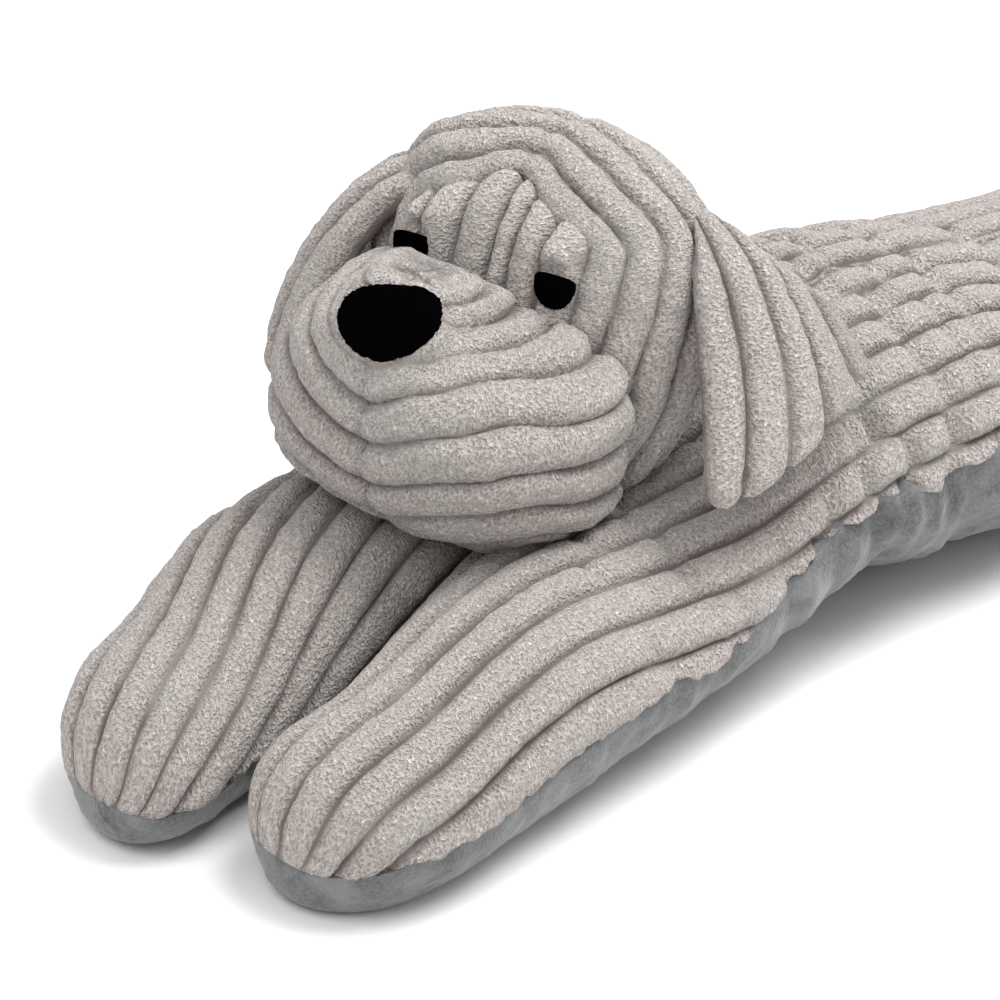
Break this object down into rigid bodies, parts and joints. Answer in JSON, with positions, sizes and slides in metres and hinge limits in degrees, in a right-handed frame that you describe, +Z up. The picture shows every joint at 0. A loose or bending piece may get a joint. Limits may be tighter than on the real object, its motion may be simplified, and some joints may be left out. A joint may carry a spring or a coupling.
{
  "type": "draught excluder",
  "caption": "Long stuffed dog of ribbed cord plush with a smooth underside, lying on its belly along the foot of a door to stop a draught.",
  "frame": {"origin": "middle of the footprint, on the floor that the belly rests on", "axes": "+Y from the forelegs towards the rump, along the body's length; +Z up; the dog's left side is towards +X"},
  "size_m": [0.2087, 0.9, 0.1664],
  "materials": {
    "body_top": "ribbed cord plush with a short soft pile",
    "body_underside": "smooth short-pile velour",
    "head_side_left": "ribbed cord plush with a short soft pile",
    "head_side_right": "ribbed cord plush with a short soft pile",
    "face_panel": "ribbed cord plush with a short soft pile",
    "muzzle_left": "ribbed cord plush with a short soft pile",
    "muzzle_right": "ribbed cord plush with a short soft pile",
    "ear_left": "ribbed cord plush with a short soft pile",
    "ear_right": "ribbed cord plush with a short soft pile",
    "nose": "matt black velour patch",
    "eye_left": "matt black velour patch",
    "eye_right": "matt black velour patch"
  },
  "bodies": {
    "root": {"body_top": "body_top", "body_underside": "body_underside", "head_side_left": "head_side_left", "head_side_right": "head_side_right", "face_panel": "face_panel", "muzzle_left": "muzzle_left", "muzzle_right": "muzzle_right", "ear_left": "ear_left", "ear_right": "ear_right", "nose": "nose", "eye_left": "eye_left", "eye_right": "eye_right"}
  },
  "joints": []
}
